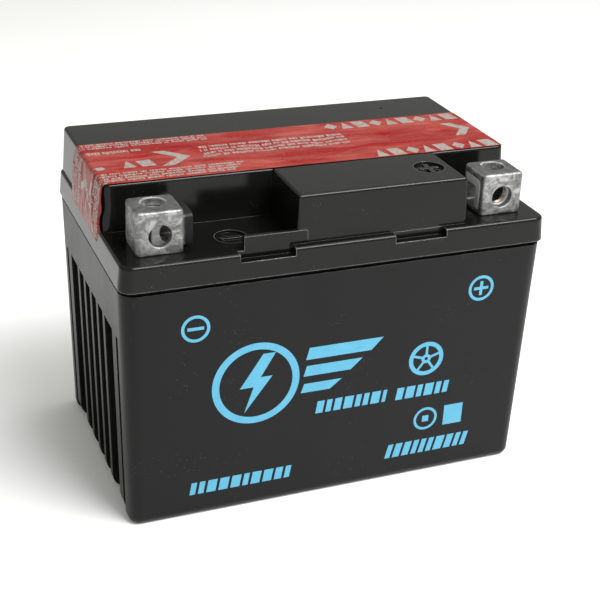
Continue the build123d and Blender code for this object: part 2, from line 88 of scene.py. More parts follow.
LIGHTS_AIM = Vector((0.0, 0.0, 0.045))
SOFT_LIGHTS = (   # name, place, width and height, power in watts
    ("light_top", (0.28, -0.12, 0.85), (0.90, 0.60), 4.0),
    ("light_strip", (0.30, -0.42, 0.75), (0.60, 0.30), 9.0),
    ("light_front", (0.10, -0.90, 0.65), (1.00, 0.70), 1.2),
    ("light_left", (-0.75, -0.35, 0.70), (0.80, 0.60), 0.7),
)
WORLD_COLOUR = (1.0, 1.0, 0.94, 1.0)
WORLD_STRENGTH = 0.46
FLOOR_HALF = 4.0


def make_camera():
    """Looks down at the front and the left end."""
    forward = Vector((math.sin(CAMERA_YAW) * math.cos(CAMERA_PITCH),
                      math.cos(CAMERA_YAW) * math.cos(CAMERA_PITCH),
                      -math.sin(CAMERA_PITCH)))
    level = forward.cross(Vector((0, 0, 1))).normalized()
    upward = level.cross(forward)
    right = math.cos(CAMERA_ROLL) * level + math.sin(CAMERA_ROLL) * upward
    up = math.cos(CAMERA_ROLL) * upward - math.sin(CAMERA_ROLL) * level
    data = bpy.data.cameras.new("camera")
    data.lens = CAMERA_LENS_MM
    data.sensor_width = CAMERA_SENSOR_MM
    data.clip_start = 0.01
    camera = bpy.data.objects.new("camera", data)
    turn = Matrix((right, up, -forward)).transposed().to_4x4()
    camera.matrix_world = Matrix.Translation(CAMERA_PLACE) @ turn
    bpy.context.scene.collection.objects.link(camera)
    bpy.context.scene.camera = camera


def make_soft_light(name, place, size, power):
    """A large rectangular light that points at the battery."""
    data = bpy.data.lights.new(name, "AREA")
    data.shape = "RECTANGLE"
    data.size, data.size_y = size
    data.energy = power
    light = bpy.data.objects.new(name, data)
    aim = (LIGHTS_AIM - Vector(place)).to_track_quat("-Z", "Y")
    light.matrix_world = Matrix.Translation(Vector(place)) @ aim.to_matrix().to_4x4()
    bpy.context.scene.collection.objects.link(light)


def make_studio():
    """A pale floor, a pale surround and four large soft lights."""
    scene = bpy.context.scene
    scene.view_settings.view_transform = "Standard"
    world = bpy.data.worlds.new("studio")
    world.use_nodes = True
    background = world.node_tree.nodes["Background"]
    background.inputs["Color"].default_value = WORLD_COLOUR
    background.inputs["Strength"].default_value = WORLD_STRENGTH
    scene.world = world

    for light in SOFT_LIGHTS:
        make_soft_light(*light)

    shader = Shader("studio_floor")
    shader.set("Base Color", (0.90, 0.90, 0.90, 1.0))
    shader.set("Roughness", shader.span(shader.noise(9.0, 3.0), 0.3, 0.7, 0.55, 0.7))
    half = FLOOR_HALF
    corners = [(-half, -half, 0), (half, -half, 0), (half, half, 0), (-half, half, 0)]
    mesh = bpy.data.meshes.new("floor")
    mesh.from_pydata(corners, [], [(0, 1, 2, 3)])
    floor = bpy.data.objects.new("floor", mesh)
    floor.data.materials.append(shader.material)
    scene.collection.objects.link(floor)


# ------------------------------------------------------------------------ materials

class Shader:
    """A material's node tree, with a short way to add, link and set its nodes."""

    def __init__(self, name):
        self.material = bpy.data.materials.new(name)
        self.material.use_nodes = True
        self.tree = self.material.node_tree
        self.surface = self.tree.nodes["Principled BSDF"]
        self.place = self.add("ShaderNodeTexCoord").outputs["Object"]

    def feed(self, socket, value):
        """Links another node's output to a socket, or sets the socket's value."""
        if isinstance(value, bpy.types.NodeSocket):
            self.tree.links.new(value, socket)
        else:
            socket.default_value = value

    def add(self, kind, **settings):
        """A new node of a kind, with its settings."""
        node = self.tree.nodes.new(kind)
        for key, value in settings.items():
            setattr(node, key, value)
        return node

    def set(self, name, value):
        """Gives one of the surface shader's inputs a value or a pattern."""
        self.feed(self.surface.inputs[name], value)

    def stretched(self, scale):
        """The place, with each axis scaled on its own."""
        node = self.add("ShaderNodeMapping")
        self.feed(node.inputs["Vector"], self.place)
        node.inputs["Scale"].default_value = scale
        return node.outputs["Vector"]

    def noise(self, scale, detail=2.0, rough=0.5, place=None, distortion=0.0):
        """Cloudy noise of about 1/scale metres across."""
        node = self.add("ShaderNodeTexNoise")
        self.feed(node.inputs["Vector"], place or self.place)
        node.inputs["Scale"].default_value = scale
        node.inputs["Detail"].default_value = detail
        node.inputs["Roughness"].default_value = rough
        node.inputs["Distortion"].default_value = distortion
        return node.outputs["Fac"]

    def cells(self, scale, place=None, feature="F1"):
        """Distance to the nearest of many random points, 1/scale metres apart."""
        node = self.add("ShaderNodeTexVoronoi", feature=feature)
        self.feed(node.inputs["Vector"], place or self.place)
        node.inputs["Scale"].default_value = scale
        return node.outputs["Distance"]

    def span(self, value, low, high, to_low=0.0, to_high=1.0):
        """Maps low..high to to_low..to_high, clamped."""
        node = self.add("ShaderNodeMapRange")
        self.feed(node.inputs["Value"], value)
        node.inputs["From Min"].default_value = low
        node.inputs["From Max"].default_value = high
        node.inputs["To Min"].default_value = to_low
        node.inputs["To Max"].default_value = to_high
        return node.outputs["Result"]

    def maths(self, a, b, operation="ADD"):
        """One arithmetic step, such as a plus b or a times b."""
        node = self.add("ShaderNodeMath", operation=operation)
        self.feed(node.inputs[0], a)
        self.feed(node.inputs[1], b)
        return node.outputs["Value"]

    def mix(self, share, a, b):
        """Colour a where share is 0, colour b where it is 1."""
        node = self.add("ShaderNodeMix", data_type="RGBA")
        self.feed(node.inputs["Factor"], share)
        self.feed(node.inputs["A"], a)
        self.feed(node.inputs["B"], b)
        return node.outputs["Result"]

    def edge_wear(self, radius):
        """About 1 on outer edges sharper than the radius, 0 on flats and in corners."""
        bevel = self.add("ShaderNodeBevel", samples=6)
        bevel.inputs["Radius"].default_value = radius
        geometry = self.add("ShaderNodeNewGeometry")
        dot = self.add("ShaderNodeVectorMath", operation="DOT_PRODUCT")
        self.feed(dot.inputs[0], bevel.outputs["Normal"])
        self.feed(dot.inputs[1], geometry.outputs["Normal"])
        open_air = self.add("ShaderNodeAmbientOcclusion", samples=4)
        open_air.inputs["Distance"].default_value = 1.2 * MM
        outer = self.span(open_air.outputs["AO"], 0.78, 0.96)
        return self.maths(self.span(dot.outputs["Value"], 0.99, 0.86), outer, "MULTIPLY")

    def specks(self, spacing, share):
        """Small round specks about that far apart, on a share of the places."""
        spots = self.span(self.cells(1 / spacing), 0.16, 0.06)
        dusty = self.span(self.noise(90.0, 3.0), 1 - share, 1.05 - share)
        return self.maths(spots, dusty, "MULTIPLY")

    def bump(self, *layers, soft_edge=0.0):
        """Surface relief from (height pattern, depth in metres) layers."""
        normal = None
        if soft_edge:
            bevel = self.add("ShaderNodeBevel", samples=6)
            bevel.inputs["Radius"].default_value = soft_edge
            normal = bevel.outputs["Normal"]
        for height, depth in layers:
            node = self.add("ShaderNodeBump")
            node.inputs["Strength"].default_value = 1.0
            node.inputs["Distance"].default_value = depth
            self.feed(node.inputs["Height"], height)
            if normal:
                self.feed(node.inputs["Normal"], normal)
            normal = node.outputs["Normal"]
        self.set("Normal", normal)


def grey(value):
    """An opaque grey."""
    return (value, value, value, 1.0)


def make_case_plastic():
    """Black polypropylene with a fine moulded grain and faint flow marks."""
    shader = Shader("case_plastic")
    flow = shader.noise(26.0, 4.0, 0.6, shader.stretched((1.0, 1.0, 0.35)), 0.8)
    grain = shader.noise(1900.0, 2.0, 0.6)
    scuffs = shader.noise(420.0, 5.0, 0.7, shader.stretched((1.0, 1.0, 7.0)))
    wear = shader.maths(shader.edge_wear(0.25 * MM), shader.span(scuffs, 0.42, 0.62), "MULTIPLY")
    body = shader.mix(shader.span(flow, 0.3, 0.7), (0.0030, 0.0030, 0.0031, 1.0),
                      (0.0055, 0.0055, 0.0057, 1.0))
    dusty = shader.mix(shader.specks(1.1 * MM, 0.45), body, grey(0.055))
    shader.set("Base Color", shader.mix(wear, dusty, grey(0.10)))
    shader.set("Metallic", shader.maths(wear, 0.25, "MULTIPLY"))
    shader.set("Specular IOR Level", 0.19)
    smooth = shader.span(flow, 0.3, 0.7, 0.32, 0.42)
    shader.set("Roughness", shader.maths(smooth, shader.span(scuffs, 0.55, 0.75, 0.0, 0.12)))
    shader.bump((grain, 0.012 * MM), (shader.noise(190.0, 2.0), 0.02 * MM),
                soft_edge=0.2 * MM)
    return shader.material


def make_lid_plastic():
    """The lid's black plastic: smoother than the case, with hairline scratches."""
    shader = Shader("lid_plastic")
    clouds = shader.noise(45.0, 4.0, 0.6)
    hairlines = shader.noise(300.0, 6.0, 0.75, shader.stretched((1.0, 9.0, 1.0)), 1.5)
    wear = shader.maths(shader.edge_wear(0.45 * MM), shader.span(hairlines, 0.30, 0.52),
                        "MULTIPLY")
    body = shader.mix(shader.span(clouds, 0.3, 0.7), (0.0032, 0.0032, 0.0029, 1.0),
                      (0.0055, 0.0055, 0.0050, 1.0))
    dusty = shader.mix(shader.specks(1.3 * MM, 0.42), body, (0.050, 0.046, 0.036, 1.0))
    shader.set("Base Color", shader.mix(wear, dusty, grey(0.16)))
    shader.set("Metallic", shader.maths(wear, 0.35, "MULTIPLY"))
    shader.set("Specular IOR Level", 0.22)
    smooth = shader.span(clouds, 0.3, 0.7, 0.10, 0.16)
    shader.set("Roughness", shader.maths(smooth, shader.span(hairlines, 0.52, 0.72, 0.0, 0.12)))
    shader.bump((shader.noise(1500.0, 2.0, 0.6), 0.002 * MM),
                (shader.noise(120.0, 1.0), 0.02 * MM), soft_edge=0.22 * MM)
    return shader.material


def make_red_film():
    """Red printed film: glossy, a little cloudy, creased along its folds."""
    shader = Shader("red_film")
    clouds = shader.noise(85.0, 4.0, 0.6, shader.stretched((0.5, 1.4, 1.0)), 0.6)
    specks = shader.span(shader.noise(1400.0, 2.0, 0.6), 0.60, 0.72)
    bands = shader.noise(210.0, 3.0, 0.6, shader.stretched((0.22, 1.0, 0.5)), 0.7)
    # paler pink in cloudy patches and in streaks running along the film
    paler_streaks = shader.maths(shader.span(clouds, 0.40, 0.66, 0.0, 0.5),
                         shader.span(bands, 0.50, 0.66, 0.0, 0.5))
    body = shader.mix(paler_streaks, (0.205, 0.0012, 0.001, 1.0), (0.34, 0.072, 0.056, 1.0))
    shader.set("Base Color", shader.mix(shader.maths(specks, 0.30, "MULTIPLY"), body,
                                        (0.40, 0.15, 0.125, 1.0)))
    shader.set("Specular IOR Level", 0.10)
    shader.set("Roughness", shader.span(clouds, 0.3, 0.7, 0.18, 0.32))
    streaks = shader.noise(300.0, 3.0, 0.55, shader.stretched((0.14, 1.0, 0.6)), 0.4)
    shader.bump((streaks, 0.40 * MM), (shader.noise(700.0, 3.0, 0.6), 0.03 * MM))
    return shader.material


def make_silver_print():
    """Pale silver ink on the film, slightly worn."""
    shader = Shader("silver_print")
    worn = shader.noise(900.0, 4.0, 0.7)
    shader.set("Base Color", shader.mix(shader.span(worn, 0.45, 0.66),
                                        (0.28, 0.275, 0.25, 1.0), (0.28, 0.125, 0.105, 1.0)))
    shader.set("Specular IOR Level", 0.3)
    shader.set("Metallic", 0.1)
    shader.set("Roughness", shader.span(worn, 0.3, 0.7, 0.26, 0.40))
    shader.bump((worn, 0.006 * MM))
    return shader.material


def make_cyan_ink():
    """Light blue screen-printed ink with a faint mesh grain."""
    shader = Shader("cyan_ink")
    mesh_grain = shader.noise(2600.0, 2.0, 0.5)
    thin = shader.span(shader.noise(260.0, 4.0, 0.6), 0.3, 0.7)
    shader.set("Base Color", shader.mix(thin, (0.067, 0.325, 0.490, 1.0),
                                        (0.087, 0.365, 0.530, 1.0)))
    shader.set("Roughness", shader.span(mesh_grain, 0.3, 0.7, 0.42, 0.55))
    shader.bump((mesh_grain, 0.006 * MM))
    return shader.material


def painted_hole_highlight(shader):
    """1 in a thin arc behind each terminal's top hole: a painted highlight on the hole's rim."""
    hole = MOUNTS["positive_top_bolt_hole"]
    place = shader.add("ShaderNodeSeparateXYZ")
    shader.feed(place.inputs["Vector"], shader.place)
    either_side = shader.maths(place.outputs["X"], 0.0, "ABSOLUTE")
    across = shader.maths(either_side, hole["pos_m"][0], "SUBTRACT")
    along = shader.maths(place.outputs["Y"], hole["pos_m"][1], "SUBTRACT")
    square = shader.maths(shader.maths(across, 2.0, "POWER"), shader.maths(along, 2.0, "POWER"))
    reach = shader.maths(square, 0.5, "POWER")
    ring_r = (hole["dims"]["r_mm"] + 0.3) * MM
    off_ring = shader.maths(shader.maths(reach, ring_r, "SUBTRACT"), 0.0, "ABSOLUTE")
    on_ring = shader.span(off_ring, 0.30 * MM, 0.12 * MM)
    return shader.maths(on_ring, shader.span(along, -0.5 * MM, 2.0 * MM), "MULTIPLY")


def make_lead():
    """Cast lead: grey oxide, frosty scuffed patches, pits and fine scratches; painted shade on
    tops, painted light on sides, a painted highlight behind each top hole.
    """
    shader = Shader("lead")
    clouds = shader.noise(520.0, 6.0, 0.68, None, 0.4)
    frost = shader.span(shader.noise(240.0, 8.0, 0.80, shader.stretched((1.0, 1.0, 1.3)), 0.7),
                        0.47, 0.60)
    pits = shader.span(shader.cells(1400.0), 0.20, 0.0)
    level = shader.add("ShaderNodeSeparateXYZ")
    shader.feed(level.inputs["Vector"], shader.add("ShaderNodeNewGeometry").outputs["Normal"])
    # 1 on upright faces, 0 on tops: the mask for the painted light and shade by facing
    upright = shader.span(level.outputs["Z"], 0.55, 0.95, 1.0, 0.0)
    oxide = shader.mix(shader.span(clouds, 0.35, 0.65), grey(0.09), (0.22, 0.22, 0.216, 1.0))
    # painted light: upright sides get much more of the pale frost than tops do
    frost_and_side_light = shader.maths(frost, shader.span(upright, 0.0, 1.0, 0.2, 0.9), "MULTIPLY")
    rubbed = shader.mix(frost_and_side_light, oxide, (0.45, 0.45, 0.438, 1.0))
    wear = shader.maths(shader.edge_wear(0.7 * MM), 0.8, "MULTIPLY")
    worn = shader.mix(wear, rubbed, (0.66, 0.655, 0.64, 1.0))
    # painted shade: faces that point up are mixed halfway towards grey 0.05
    tops_painted_darker = shader.mix(shader.span(upright, 0.0, 1.0, 0.50, 0.0), worn, grey(0.05))
    # painted highlight: a pale 0.72 grey arc behind each top hole, standing in for light caught
    # by the hole's rim
    highlight_arc = shader.maths(painted_hole_highlight(shader), shader.span(clouds, 0.38, 0.55), "MULTIPLY")
    with_painted_highlight = shader.mix(highlight_arc, tops_painted_darker, (0.72, 0.72, 0.70, 1.0))
    pitted = shader.maths(pits, 0.6, "MULTIPLY")
    shader.set("Base Color", shader.mix(pitted, with_painted_highlight, (0.11, 0.107, 0.103, 1.0)))
    shader.set("Metallic", 0.6)
    shader.set("Roughness", shader.span(clouds, 0.35, 0.65, 0.38, 0.54))
    scratches = shader.noise(900.0, 4.0, 0.7, shader.stretched((1.0, 6.0, 0.6)), 0.5)
    shader.bump((clouds, 0.05 * MM), (pits, -0.02 * MM), (scratches, 0.015 * MM))
    return shader.material


def make_plated_steel(name, dark, light, spotted, painted_shade_from=None):
    """Zinc-plated steel: rolling lines, spots of stain, bright cut ends that are partly painted
    light, painted black shade beyond an x.
    """
    shader = Shader(name)
    lines = shader.noise(600.0, 3.0, 0.6, shader.stretched((0.15, 1.0, 1.0)))
    stain = shader.noise(800.0, 6.0, 0.75)
    plating = shader.mix(shader.span(lines, 0.35, 0.65), dark, light)
    plating = shader.mix(shader.span(stain, spotted, spotted + 0.12), plating,
                         (0.30, 0.27, 0.23, 1.0))
    surface = shader.add("ShaderNodeNewGeometry")
    facing = shader.add("ShaderNodeSeparateXYZ")
    shader.feed(facing.inputs["Vector"], surface.outputs["Normal"])
    # faces pointing along x are mixed to near-white 0.92: paler sheared steel, and painted light
    # for the light these ends catch
    cut_end_and_glint = shader.span(shader.maths(facing.outputs["X"], 0.0, "ABSOLUTE"), 0.6, 0.9)
    plating = shader.mix(cut_end_and_glint, plating, (0.92, 0.92, 0.93, 1.0))
    # painted shade: past this x the steel is mixed to near-black grey 0.012, the shade in the
    # gap between the terminal and the centre block
    if painted_shade_from is not None:
        along = shader.add("ShaderNodeSeparateXYZ")
        shader.feed(along.inputs["Vector"], shader.place)
        edge = shader.maths(along.outputs["X"], shader.maths(stain, 1.5 * MM, "MULTIPLY"))
        shade_share = shader.span(edge, painted_shade_from, painted_shade_from + 1.4 * MM)
        plating = shader.mix(shade_share, plating, grey(0.012))
    shader.set("Base Color", plating)
    shader.set("Specular IOR Level", 0.2)
    shader.set("Metallic", 0.4)
    shader.set("Roughness", shader.span(stain, 0.35, 0.65, 0.34, 0.50))
    shader.bump((lines, 0.012 * MM), (stain, 0.02 * MM))
    return shader.material


def make_dark_thread():
    """Steel inside the threads: dull, with old gold-brown wax."""
    shader = Shader("dark_thread")
    stain = shader.noise(1100.0, 4.0, 0.65)
    shader.set("Base Color", shader.mix(shader.span(stain, 0.35, 0.65),
                                        (0.16, 0.12, 0.075, 1.0), (0.36, 0.31, 0.24, 1.0)))
    shader.set("Metallic", 0.9)
    shader.set("Roughness", shader.span(stain, 0.3, 0.7, 0.3, 0.5))
    shader.bump((stain, 0.01 * MM))
    return shader.material


def make_rubber(name, value):
    """Black rubber with a faint bloom."""
    shader = Shader(name)
    bloom = shader.noise(500.0, 4.0, 0.6)
    shader.set("Base Color", shader.mix(shader.span(bloom, 0.4, 0.7), grey(value),
                                        grey(value * 2.4)))
    shader.set("Roughness", shader.span(bloom, 0.3, 0.7, 0.55, 0.75))
    shader.bump((shader.noise(2400.0, 2.0), 0.008 * MM))
    return shader.material


def make_epoxy():
    """Dark red potting, glossy and slightly uneven."""
    shader = Shader("epoxy")
    clouds = shader.noise(350.0, 3.0)
    shader.set("Base Color", shader.mix(clouds, (0.20, 0.012, 0.012, 1.0),
                                        (0.33, 0.030, 0.026, 1.0)))
    shader.set("Roughness", shader.span(clouds, 0.3, 0.7, 0.10, 0.24))
    shader.bump((shader.noise(260.0, 2.0), 0.05 * MM))
    return shader.material


def make_paste(name, dark, light):
    """Porous plate paste pressed into a lead grid whose wires show as ridges."""
    shader = Shader(name)
    crumbs = shader.noise(1200.0, 5.0, 0.7)
    wires = shader.add("ShaderNodeTexBrick", offset=0.0)
    turned = shader.add("ShaderNodeMapping")
    shader.feed(turned.inputs["Vector"], shader.place)
    turned.inputs["Rotation"].default_value = (0.0, math.pi / 2, math.pi / 2)
    shader.feed(wires.inputs["Vector"], turned.outputs["Vector"])
    for socket, value in (("Scale", 1.0), ("Brick Width", 7.5 * MM), ("Row Height", 4.0 * MM),
                          ("Mortar Size", 0.35 * MM), ("Mortar Smooth", 0.4)):
        wires.inputs[socket].default_value = value
    pasted = shader.mix(shader.span(crumbs, 0.35, 0.65), dark, light)
    shader.set("Base Color", shader.mix(wires.outputs["Fac"], pasted, grey(0.33)))
    shader.set("Roughness", shader.span(crumbs, 0.3, 0.7, 0.75, 0.95))
    shader.bump((wires.outputs["Fac"], 0.15 * MM), (crumbs, 0.08 * MM))
    return shader.material


def make_glass_mat():
    """White felt of fine glass fibres lying every way."""
    shader = Shader("glass_mat")
    across = shader.noise(900.0, 5.0, 0.75, shader.stretched((1.0, 8.0, 0.8)), 2.0)
    along = shader.noise(900.0, 5.0, 0.75, shader.stretched((1.0, 0.8, 8.0)), 2.0)
    fibres = shader.maths(across, along, "MAXIMUM")
    shader.set("Base Color", shader.mix(shader.span(fibres, 0.45, 0.7), grey(0.62),
                                        (0.88, 0.88, 0.86, 1.0)))
    shader.set("Roughness", 0.95)
    shader.set("Sheen Weight", 0.3)
    shader.bump((fibres, 0.12 * MM))
    return shader.material


def make_frit():
    """The arrestor's off-white sintered grains."""
    shader = Shader("arrestor_frit")
    grains = shader.cells(2600.0)
    shader.set("Base Color", shader.mix(shader.span(grains, 0.1, 0.6), (0.80, 0.79, 0.75, 1.0),
                                        (0.42, 0.41, 0.39, 1.0)))
    shader.set("Roughness", 0.9)
    shader.bump((shader.span(grains, 0.0, 0.7, 1.0, 0.0), 0.10 * MM))
    return shader.material


def dress_cad_nodes(materials):
    """Gives every CAD node the material of its slot in the record."""
    for part in RECORD["subparts"]:
        mesh = NODES[part["node"]].data
        mesh.materials.clear()
        mesh.materials.append(materials[part["material_slot"]])


# --------------------------------------------------------------------- mesh helpers

def add_object(name, mesh, body, slot, *materials):
    """Links a finished mesh and makes it ride on a CAD body."""
    piece = bpy.data.objects.new(name, mesh)
    bpy.context.scene.collection.objects.link(piece)
    for material in materials:
        mesh.materials.append(material)
    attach(piece, body)
    return piece


def mesh_from(bm, name, smooth_angle=None):
    """Writes a bmesh out as a mesh, smooth up to an angle."""
    bmesh.ops.recalc_face_normals(bm, faces=bm.faces)
    mesh = bpy.data.meshes.new(name)
    bm.to_mesh(mesh)
    bm.free()
    if smooth_angle is not None:
        mesh.shade_smooth()
        mesh.set_sharp_from_angle(angle=smooth_angle)
    return mesh


def print_shapes(name, outlines, cell, thickness, placer):
    """Flat (u, v) outlines cut into small cells, thickened, and laid on a surface.

    placer(u, v, height) gives the point at that height above the surface.
    """
    bm = bmesh.new()
    for outline in outlines:
        bm.faces.new([bm.verts.new((u, v, 0.0)) for u, v in outline])
    for axis in range(2):
        spots = [vert.co[axis] for vert in bm.verts]
        normal = Vector((axis == 0, axis == 1, 0))
        for step in range(math.ceil(min(spots) / cell), math.floor(max(spots) / cell) + 1):
            bmesh.ops.bisect_plane(bm, geom=bm.verts[:] + bm.edges[:] + bm.faces[:],
                                   plane_co=normal * step * cell, plane_no=normal)
    lower = bm.faces[:]
    rim = [edge for edge in bm.edges if edge.is_boundary]
    above = {vert: bm.verts.new((vert.co.x, vert.co.y, thickness)) for vert in bm.verts[:]}
    for face in lower:
        bm.faces.new([above[vert] for vert in face.verts])
    for edge in rim:
        start, end = edge.verts
        bm.faces.new((start, end, above[end], above[start]))
    for vert in bm.verts:
        vert.co = placer(*vert.co)
    return mesh_from(bm, name)


def bar(u, v, width, height, slant=0.0):
    """A parallelogram centred on (u, v); slant moves its top to the right."""
    w, h = width / 2, height / 2
    return [(u - w - slant, v - h), (u + w - slant, v - h), (u + w + slant, v + h),
            (u - w + slant, v + h)]


def turned_outline(outline, centre, angle):
    """The outline turned about a centre."""
    c, s = math.cos(angle), math.sin(angle)
    return [(centre[0] + c * (u - centre[0]) - s * (v - centre[1]),
             centre[1] + s * (u - centre[0]) + c * (v - centre[1])) for u, v in outline]


def ring(u, v, outer, inner, start=0.0, sweep=2 * math.pi, segments=48):
    """A ring, or part of one, as a chain of four-sided outlines."""
    pieces = []
    for i in range(segments):
        a0 = start + sweep * i / segments
        a1 = start + sweep * (i + 1) / segments
        pieces.append([(u + inner * math.cos(a0), v + inner * math.sin(a0)),
                       (u + outer * math.cos(a0), v + outer * math.sin(a0)),
                       (u + outer * math.cos(a1), v + outer * math.sin(a1)),
                       (u + inner * math.cos(a1), v + inner * math.sin(a1))])
    return pieces


def millimetres(outlines):
    """Outlines given in millimetres, in metres."""
    return [[(u * MM, v * MM) for u, v in outline] for outline in outlines]


# ---------------------------------------------------------------------- seal tape

FILM_T = 0.06 * MM
FILM_MEAN_Z = LID_TOP_Z + 0.17 * MM
FILM_FOLD_R = 1.0 * MM
FILM_LEAN = math.radians(6.9)
FILM_FOOT_Z = 71.2 * MM          # at the rear edge; the front edge hangs lower
FILM_FOOT_DROP = 1.15 * MM
FILM_CELL = 0.5 * MM
FILM_END_DROOP = 0.10 * MM       # at the right end, over the last stretch of film
FILM_END_RUN = 0.9 * MM
PORT_SAG = 0.38 * MM
CREASE_IN = 8.5 * MM             # a crease down the left end, from the front edge
CREASE_W = 1.0 * MM
CREASE_HEIGHT = 0.50 * MM
BULGE_HEIGHT = 0.34 * MM         # how far the hanging end stands off the lid
CORNER_RUN = 2.4 * MM            # where the hanging end curls in at its front edge
CORNER_CURL = 0.62 * MM
EDGE_WAVE = 0.42 * MM            # in and out of the hanging end's front edge
EDGE_WAVE_RUN = 1.35 * MM
PRINT_RISE = 0.02 * MM
PRINT_SINK = 0.004 * MM

# the layout of both prints is in millimetres
TICK_WIDTHS = (0.32, 0.42, 0.60, 0.85)
TICK_HEIGHTS = (0.72, 0.78, 1.0)     # shares of the row's height
TICK_GAP = 0.18
TICK_GROUP_GAP = 0.55
BOLD_WIDTHS = (4.2, 3.4, 3.8)
BOLD_GAP = 0.7
BLOCK_WIDTHS = (1.5, 2.0, 2.5)
BLOCK_GAP = 0.75

SIDE_RIPPLES = (                 # height, size, stretch of s, slant, seed
    (0.26 * MM, 3.2 * MM, 0.45, 0.0, 1.7),
    (0.14 * MM, 2.2 * MM, 1.0, 0.8, 6.2),
)
TOP_RIPPLES = (                  # height, size, stretch of s, seed
    (0.045 * MM, 5.0 * MM, 0.16, 3.1),
    (0.035 * MM, 7.0 * MM, 1.0, 9.4),
    (0.012 * MM, 2.2 * MM, 1.0, 5.7),
)

SIDE_TOP_Z = FILM_MEAN_Z - FILM_FOLD_R * (1 - math.sin(FILM_LEAN))
SIDE_RUN = (SIDE_TOP_Z - FILM_FOOT_Z + FILM_FOOT_DROP) / math.cos(FILM_LEAN)
FOLD_X = (TAPE_LOW.x + 0.04 * MM + FILM_FOLD_R * math.cos(FILM_LEAN)
          + SIDE_RUN * math.sin(FILM_LEAN))
TOP_RUN = TAPE_HIGH.x - FOLD_X
FOLD_RUN = FILM_FOLD_R * (math.pi / 2 - FILM_LEAN)
FILM_RUN = TOP_RUN + FOLD_RUN + SIDE_RUN


def film_line(s):
    """Point and outward normal in the XZ plane, at distance s from the right end."""
    if s < TOP_RUN:
        return Vector((TAPE_HIGH.x - s, 0, FILM_MEAN_Z)), Vector((0, 0, 1))
    turn = min((s - TOP_RUN) / FILM_FOLD_R, math.pi / 2 - FILM_LEAN)
    normal = Vector((-math.sin(turn), 0, math.cos(turn)))
    point = Vector((FOLD_X, 0, FILM_MEAN_Z - FILM_FOLD_R)) + FILM_FOLD_R * normal
    beyond = max(0.0, s - TOP_RUN - FOLD_RUN)
    return point + beyond * Vector((-math.sin(FILM_LEAN), 0, -math.cos(FILM_LEAN))), normal


def ripple(s, y, size, seed):
    """Smooth noise between -1 and 1 with features of about that size."""
    return noise.noise(Vector((s / size, y / size, seed)))


def film_offset(s, y):
    """How far the film stands off its mean line, outwards."""
    x = TAPE_HIGH.x - s
    if s < TOP_RUN:
        offset = 0.0
        for height, size, stretch, seed in TOP_RIPPLES:
            offset += height * ripple(s * stretch, y, size, seed)
        for port in FILLER_PORTS:
            reach = math.hypot(x - port.x, y - port.y) / (FILLER_R * 0.98)
            if reach < 1:
                offset -= PORT_SAG * (1 - reach * reach) ** 2
        past_edge = max(0.0, (x - TAPE_HIGH.x + FILM_END_RUN) / FILM_END_RUN)
        return offset - FILM_END_DROOP * past_edge ** 2
    down = (s - TOP_RUN) / (FOLD_RUN + SIDE_RUN)
    loose = math.sin(math.pi * min(1.0, down * 1.04) ** 0.8) if down < 0.96 else 0.0
    offset = BULGE_HEIGHT * loose
    for height, size, stretch, slant, seed in SIDE_RIPPLES:
        offset += height * loose * ripple(s * stretch + slant * y, y, size, seed)
    crease = (y - TAPE_LOW.y - CREASE_IN * (1 - 0.45 * down)) / CREASE_W
    offset += CREASE_HEIGHT * loose * math.exp(-crease * crease)
    past_corner = max(0.0, (TAPE_LOW.y + CORNER_RUN - y) / CORNER_RUN)
    return offset - CORNER_CURL * past_corner ** 2 * math.sin(math.pi * min(1.0, down) / 2)


def film_point(s, y, height):
    """A point of the film's outside, or that height above it."""
    if s > TOP_RUN + FOLD_RUN:
        share = (s - TOP_RUN - FOLD_RUN) / SIDE_RUN
        across = (y - TAPE_LOW.y) / (TAPE_HIGH.y - TAPE_LOW.y)
        s -= share * across * FILM_FOOT_DROP
    point, normal = film_line(s)
    point = point + normal * (film_offset(s, y) + height)
    return Vector((point.x, y, point.z))


def film_front_y(s):
    """The film's ragged front edge, wavy where it hangs down the left end."""
    wave = 0.10 * MM * (1 + ripple(s, 0.0, 5.0 * MM, 2.2))
    hanging = min(1.0, max(0.0, (s - TOP_RUN) / (3 * MM)))
    return TAPE_LOW.y + wave + hanging * EDGE_WAVE * math.sin((s - TOP_RUN) / EDGE_WAVE_RUN)


def make_film(material):
    """The film as one thin closed sheet over the ports and down the left end."""
    rows = round(FILM_RUN / FILM_CELL)
    columns = round((TAPE_HIGH.y - TAPE_LOW.y) / FILM_CELL)
    bm = bmesh.new()
    layers = []
    for height in (0.0, -FILM_T):
        grid = []
        for row in range(rows + 1):
            s = FILM_RUN * row / rows
            front = film_front_y(s)
            line = []
            for column in range(columns + 1):
                y = front + (TAPE_HIGH.y - front) * column / columns
                line.append(bm.verts.new(film_point(s, y, height)))
            grid.append(line)
        layers.append(grid)
        for row in range(rows):
            for column in range(columns):
                bm.faces.new((grid[row][column], grid[row][column + 1],
                              grid[row + 1][column + 1], grid[row + 1][column]))
    rim = [(row, 0) for row in range(rows)] + [(rows, column) for column in range(columns)]
    rim += [(row, columns) for row in range(rows, 0, -1)]
    rim += [(0, column) for column in range(columns, 0, -1)]
    outer, inner = layers
    for (r0, c0), (r1, c1) in zip(rim, rim[1:] + rim[:1]):
        bm.faces.new((outer[r0][c0], outer[r1][c1], inner[r1][c1], inner[r0][c0]))
    film = add_object("seal_tape_film", mesh_from(bm, "seal_tape_film", math.radians(60)),
                      "seal_tape", "tape_film", material)
    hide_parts("seal_tape")


